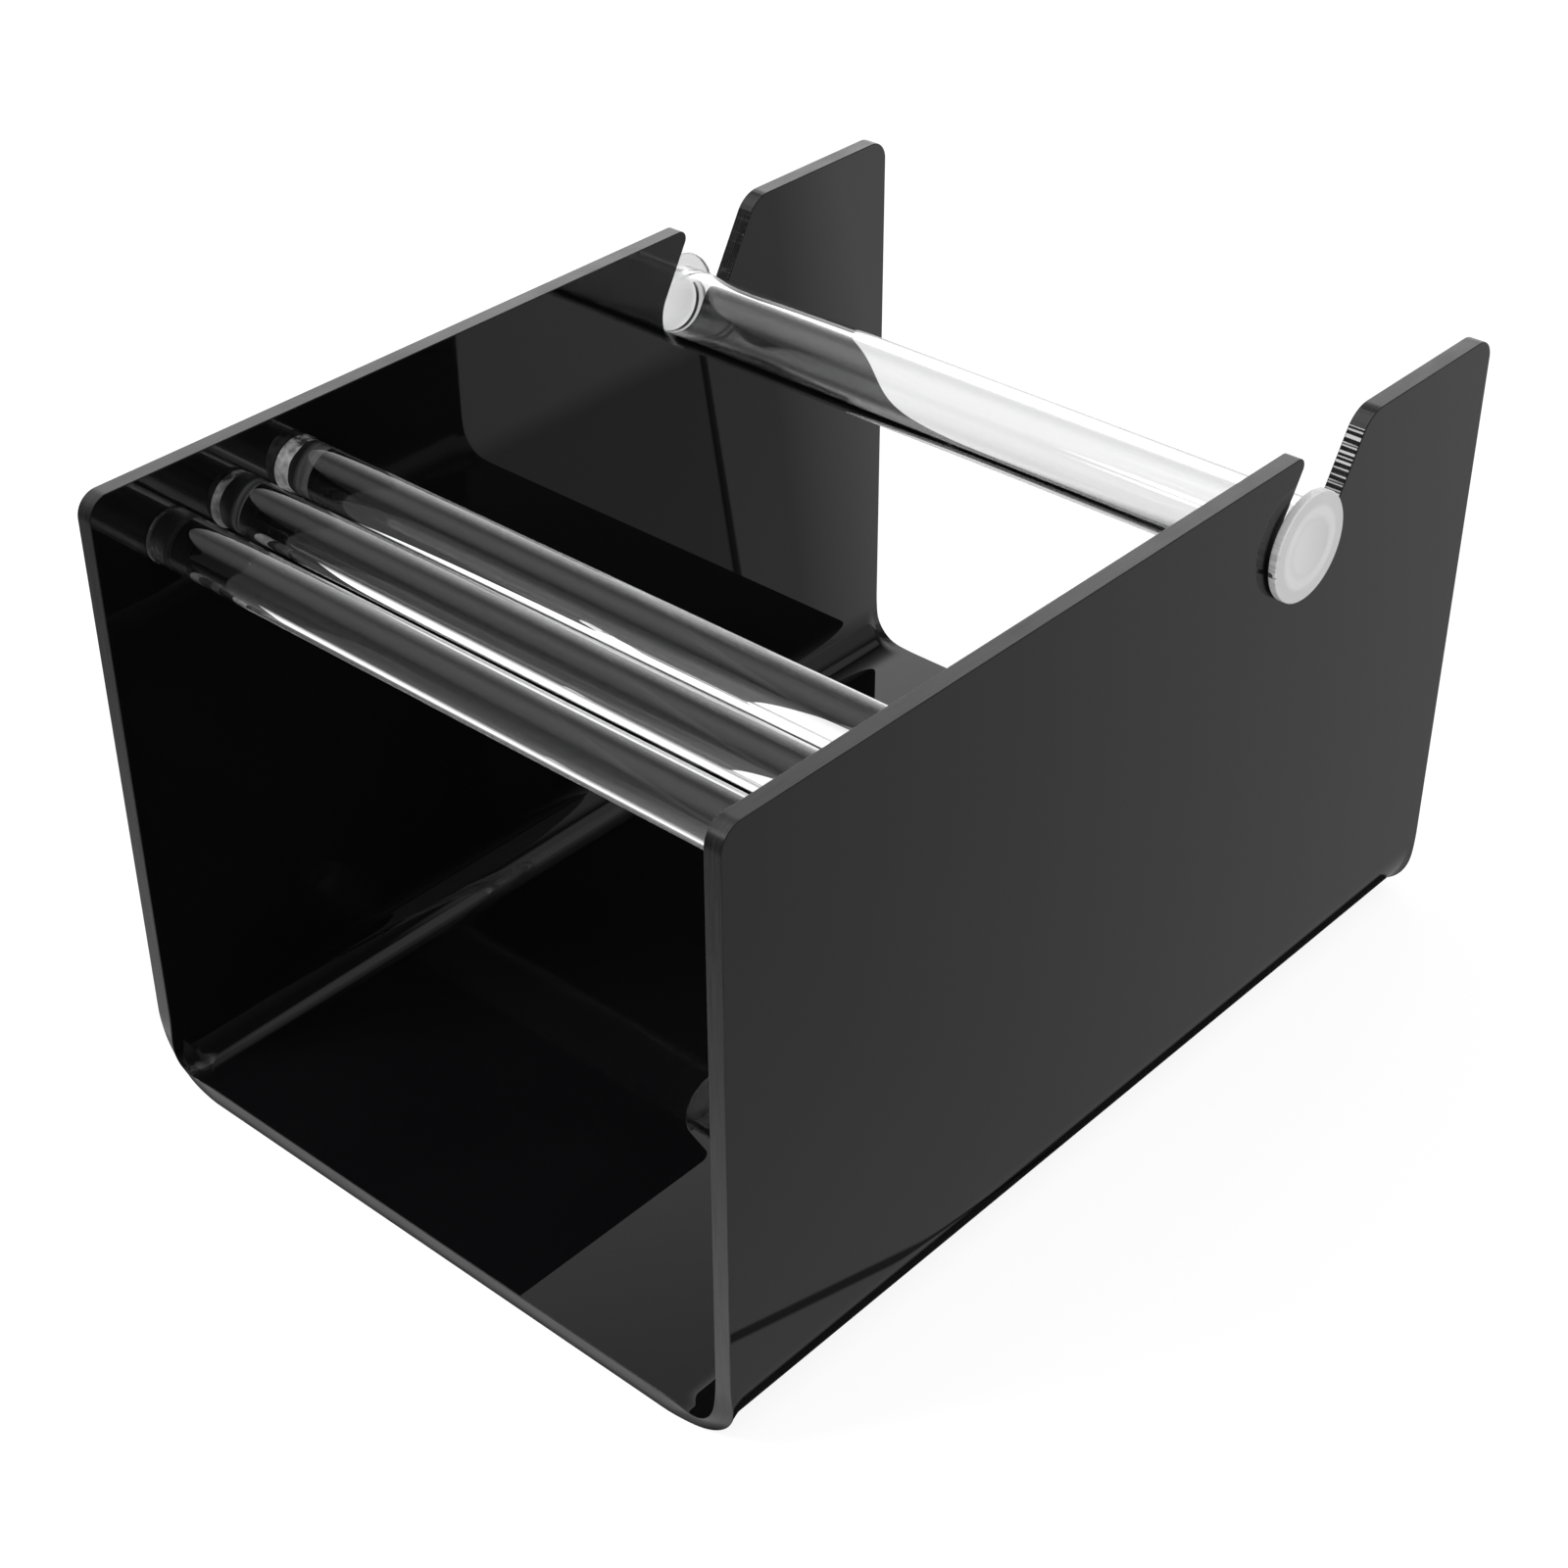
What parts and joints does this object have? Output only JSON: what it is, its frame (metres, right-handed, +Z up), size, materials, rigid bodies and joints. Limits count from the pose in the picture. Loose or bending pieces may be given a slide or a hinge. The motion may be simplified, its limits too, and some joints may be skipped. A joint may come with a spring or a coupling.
{
  "type": "ribbon dispenser",
  "caption": "Desktop ribbon dispenser: a glossy black acrylic tray bent from sheet, with clear guide rods across the front and a clear roller lying in slanted open slots.",
  "frame": {"origin": "under the middle of the tray's floor, on the table it stands on", "axes": "+X to the right, +Y to the back, +Z up; the front is the end with the guide rods"},
  "size_m": [0.175, 0.2416, 0.145],
  "materials": {
    "black_acrylic": "polished",
    "clear_rod": "polished",
    "clear_tube": "polished",
    "clear_disc": "laser-cut edge, polished faces"
  },
  "bodies": {
    "tray": {"tray": "black_acrylic", "front_guide_rod": "clear_rod", "middle_guide_rod": "clear_rod", "rear_guide_rod": "clear_rod"},
    "roller_end": {"left_roller_disc": "clear_disc"},
    "roller": {"roller_tube": "clear_tube", "right_roller_disc": "clear_disc"}
  },
  "joints": [
    {"name": "roller_lift", "type": "slide", "parent": "tray", "child": "roller_end", "axis": [0, 0.5, 0.866], "range_m": [0, 0.045]},
    {"name": "roller_spin", "type": "hinge", "parent": "roller_end", "child": "roller", "pos_m": [0, 0.0506, 0.12485], "axis": [1, 0, 0], "continuous": true}
  ]
}
